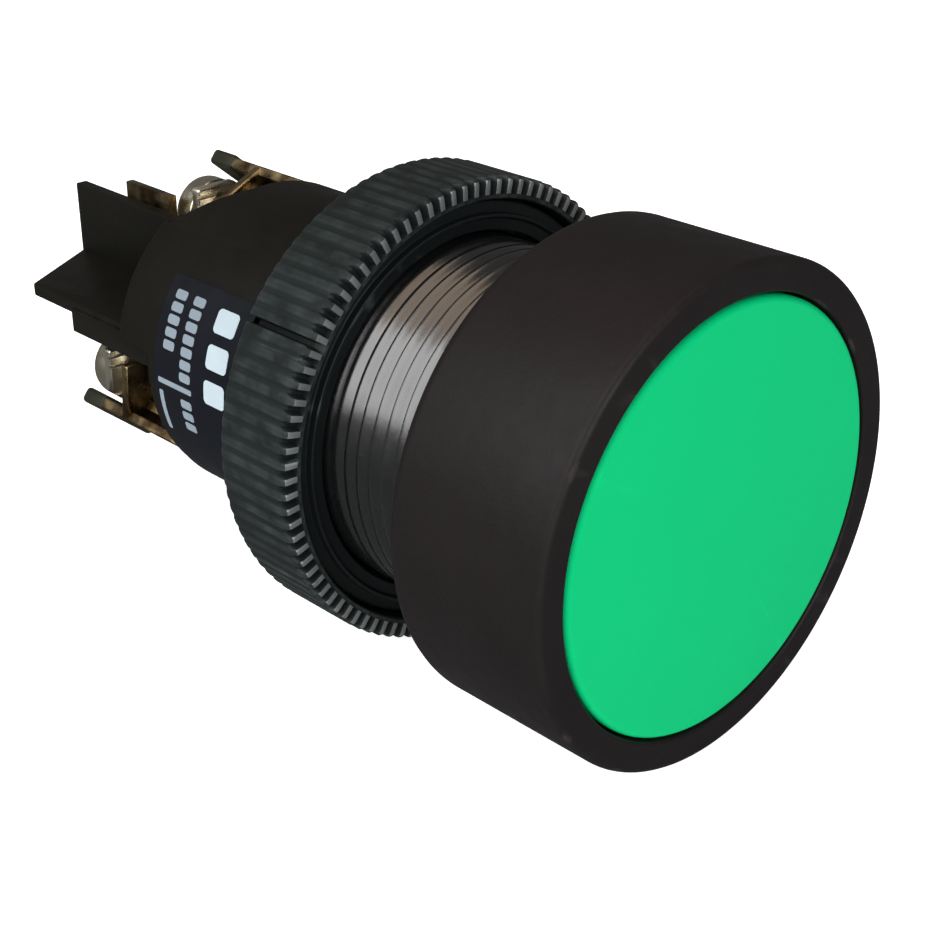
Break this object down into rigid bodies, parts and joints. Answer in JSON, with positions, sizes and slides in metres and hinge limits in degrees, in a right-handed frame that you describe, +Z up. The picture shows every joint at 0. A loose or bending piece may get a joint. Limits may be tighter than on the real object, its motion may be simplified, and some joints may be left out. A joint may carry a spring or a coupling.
{
  "type": "panel push button",
  "caption": "Round flush push button for a 22 mm panel hole, with a threaded neck, ribbed ring nut and rear screw terminals behind a cross-shaped barrier.",
  "frame": {"origin": "centre of the panel hole, in the plane where the bezel's flat back bears on the panel", "axes": "+Y along the push axis, from the operator's side to the terminals; +Z up"},
  "size_m": [0.029, 0.06, 0.029],
  "materials": {
    "bezel_plastic": "fine matt black moulding",
    "cap_plastic": "satin green moulding",
    "neck_plastic": "glossy black moulded thread",
    "nut_plastic": "satin black moulding with fine ribs",
    "housing_plastic": "satin black moulding",
    "nylon": "natural nylon",
    "rubber": "matt",
    "label_film": "printed film, dark navy",
    "brass": "stamped sheet, slightly tarnished",
    "screw_metal": "plated, bright",
    "silver": "bright contact silver",
    "spring_steel": "drawn wire"
  },
  "bodies": {
    "housing": {"bezel": "bezel_plastic", "panel_gasket": "rubber", "threaded_neck": "neck_plastic", "contact_housing": "housing_plastic", "label": "label_film", "terminal_block": "housing_plastic", "return_spring": "spring_steel", "terminal_plate_upper": "brass", "terminal_plate_lower": "brass", "fixed_tip_upper": "silver", "fixed_tip_lower": "silver"},
    "button": {"button_cap": "cap_plastic", "plunger": "nylon", "plunger_seal": "rubber", "stem_clip": "spring_steel", "bridge_spring": "spring_steel"},
    "bridge": {"contact_bridge": "brass", "bridge_tip_upper": "silver", "bridge_tip_lower": "silver"},
    "nut_carrier": {"thrust_washer": "nut_plastic"},
    "nut": {"ring_nut": "nut_plastic"},
    "clamp_upper": {"clamp_washer_upper": "brass"},
    "screw_upper": {"terminal_screw_upper": "screw_metal"},
    "clamp_lower": {"clamp_washer_lower": "brass"},
    "screw_lower": {"terminal_screw_lower": "screw_metal"}
  },
  "joints": [
    {"name": "button_press", "type": "slide", "parent": "housing", "child": "button", "axis": [0, 1, 0], "range_m": [0, 0.003], "stiffness_N_per_m": 400, "springref_m": -0.006, "deforming": ["return_spring"]},
    {"name": "bridge_close", "type": "slide", "parent": "housing", "child": "bridge", "axis": [0, 1, 0], "range_m": [0, 0.00201], "deforming": ["bridge_spring"]},
    {"name": "nut_advance", "type": "slide", "parent": "housing", "child": "nut_carrier", "axis": [0, 1, 0], "range_m": [-0.006, 0.0015]},
    {"name": "nut_turn", "type": "hinge", "parent": "nut_carrier", "child": "nut", "pos_m": [0, 0.0111, 0], "axis": [0, 1, 0], "range_deg": [-2161, 541]},
    {"name": "clamp_upper_lift", "type": "slide", "parent": "housing", "child": "clamp_upper", "axis": [0, 1, 0], "range_m": [-0.00305, 0.0015]},
    {"name": "screw_upper_turn", "type": "hinge", "parent": "clamp_upper", "child": "screw_upper", "pos_m": [0.00399, 0.03785, 0.00475], "axis": [0, 1, 0], "range_deg": [-2197, 1081]},
    {"name": "clamp_lower_lift", "type": "slide", "parent": "housing", "child": "clamp_lower", "axis": [0, 1, 0], "range_m": [-0.00305, 0.0015]},
    {"name": "screw_lower_turn", "type": "hinge", "parent": "clamp_lower", "child": "screw_lower", "pos_m": [-0.00399, 0.03785, -0.00475], "axis": [0, 1, 0], "range_deg": [-2197, 1081]}
  ],
  "couplings": [
    {"joint": "bridge_close", "follows": "button_press", "ratio": 0.66667},
    {"joint": "nut_turn", "follows": "nut_advance", "rad_per_m": 6283.2},
    {"joint": "screw_upper_turn", "follows": "clamp_upper_lift", "rad_per_m": 12566},
    {"joint": "screw_lower_turn", "follows": "clamp_lower_lift", "rad_per_m": 12566}
  ]
}
